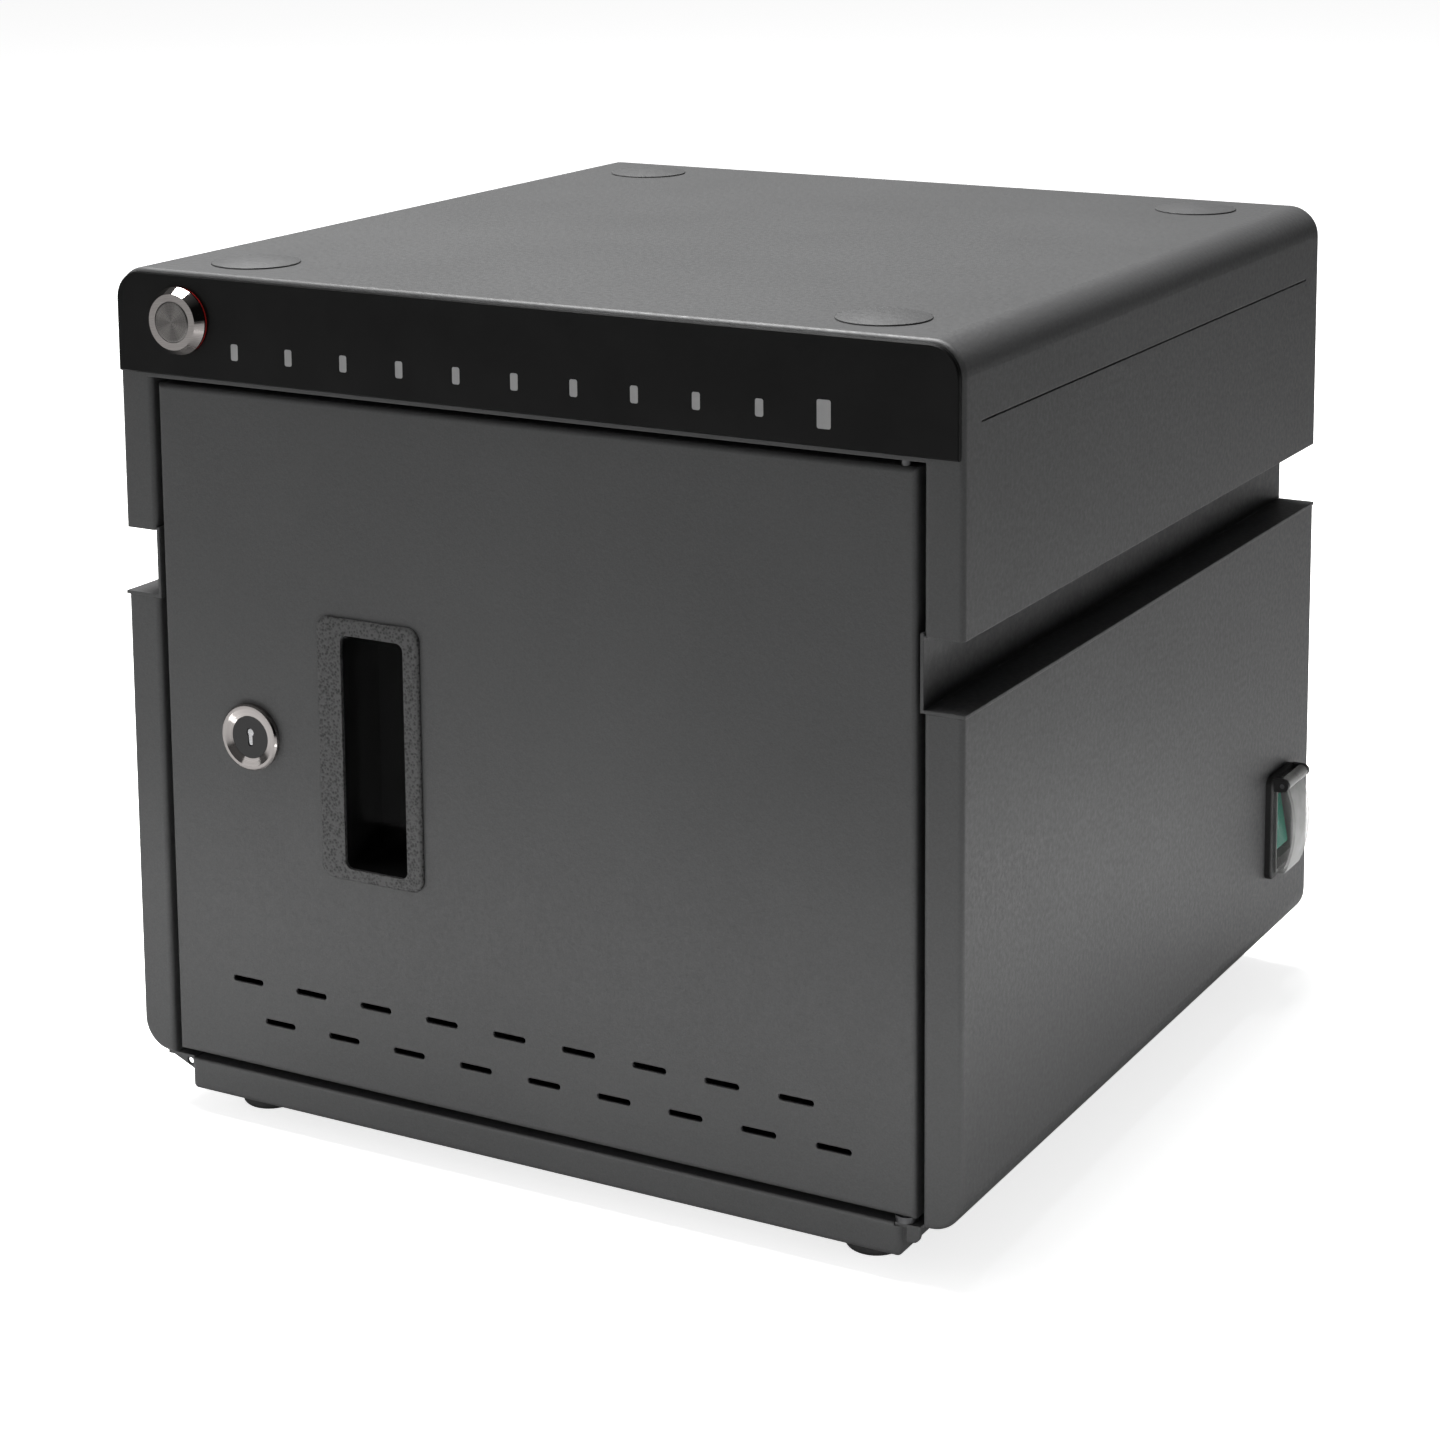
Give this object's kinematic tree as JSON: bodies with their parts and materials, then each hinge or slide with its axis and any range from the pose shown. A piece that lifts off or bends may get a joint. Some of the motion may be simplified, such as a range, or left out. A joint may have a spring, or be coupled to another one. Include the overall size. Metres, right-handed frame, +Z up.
{
  "type": "charging cabinet",
  "caption": "Desktop charging cabinet with a lockable hinged front door, side hand grooves, status light strip, start button and covered power switch.",
  "frame": {"origin": "bottom centre of the whole object's box, on the plane the feet stand on", "axes": "+Z up, -Y out of the door's front, +X towards the side with the power switch"},
  "size_m": [0.3576, 0.3536, 0.3279],
  "materials": {
    "steel_paint": "fine-textured dark grey powder coat",
    "fascia_black": "satin black acrylic plate",
    "window_grey": "unlit translucent light window",
    "ring_red": "translucent red light ring",
    "chrome_trim": "polished",
    "steel_spun": "spun brushed face",
    "zinc_steel": "zinc plated steel",
    "black_plastic": "moulded, fine grain",
    "lock_black": "gloss black lock face",
    "foot_rubber": "moulded rubber",
    "divider_plastic": "smooth dark sheet plastic",
    "psu_alloy": "folded sheet housing",
    "board_green": "circuit board with housed components",
    "rocker_green": "translucent green",
    "cover_clear": "clear flexible cover"
  },
  "bodies": {
    "cabinet": {"upper_shell": "steel_paint", "left_grip_channel": "steel_paint", "right_grip_channel": "steel_paint", "left_side_panel": "steel_paint", "right_side_panel": "steel_paint", "base_pan": "steel_paint", "back_panel": "steel_paint", "floor_plate": "steel_paint", "equipment_shelf": "steel_paint", "rear_partition": "steel_paint", "feet": "foot_rubber", "foot_screws": "zinc_steel", "top_pads": "steel_paint", "back_screws": "zinc_steel", "front_fascia": "fascia_black", "status_windows": "window_grey", "power_window": "window_grey", "button_ring": "ring_red", "button_bezel": "chrome_trim", "button_nut": "zinc_steel", "hinge_pins": "zinc_steel", "hinge_bracket": "steel_paint", "hinge_washer": "zinc_steel", "power_inlet": "black_plastic", "inlet_pins": "zinc_steel", "inlet_screws": "zinc_steel", "switch_frame": "black_plastic", "cover_pin": "zinc_steel", "slot_dividers": "divider_plastic", "divider_combs": "black_plastic", "port_strip": "black_plastic", "usb_ports": "zinc_steel", "power_supply": "psu_alloy", "board_standoffs": "zinc_steel", "control_board": "board_green"},
    "door": {"door_panel": "steel_paint", "handle_cup": "black_plastic", "lock_body": "chrome_trim", "lock_nut": "zinc_steel"},
    "lock_plug": {"lock_plug": "lock_black", "lock_cam": "zinc_steel", "cam_screw": "zinc_steel"},
    "start_button": {"start_button": "steel_spun"},
    "switch_rocker": {"switch_rocker": "rocker_green"},
    "splash_cover": {"splash_cover": "cover_clear"}
  },
  "joints": [
    {"name": "door_hinge", "type": "hinge", "parent": "cabinet", "child": "door", "pos_m": [0.1455, -0.16625, 0.1532], "axis": [0, 0, 1], "range_deg": [0, 110]},
    {"name": "lock_turn", "type": "hinge", "parent": "door", "child": "lock_plug", "pos_m": [-0.1219, -0.15985, 0.1531], "axis": [0, 1, 0], "range_deg": [0, 90]},
    {"name": "button_press", "type": "slide", "parent": "cabinet", "child": "start_button", "axis": [0, 1, 0], "range_m": [0, 0.0015], "stiffness_N_per_m": 400},
    {"name": "rocker_tilt", "type": "hinge", "parent": "cabinet", "child": "switch_rocker", "pos_m": [0.1638, 0.13615, 0.0745], "axis": [0, 1, 0], "range_deg": [0, 20]},
    {"name": "cover_flip", "type": "hinge", "parent": "cabinet", "child": "splash_cover", "pos_m": [0.1742, 0.13615, 0.0935], "axis": [0, -1, 0], "range_deg": [0, 110]}
  ]
}
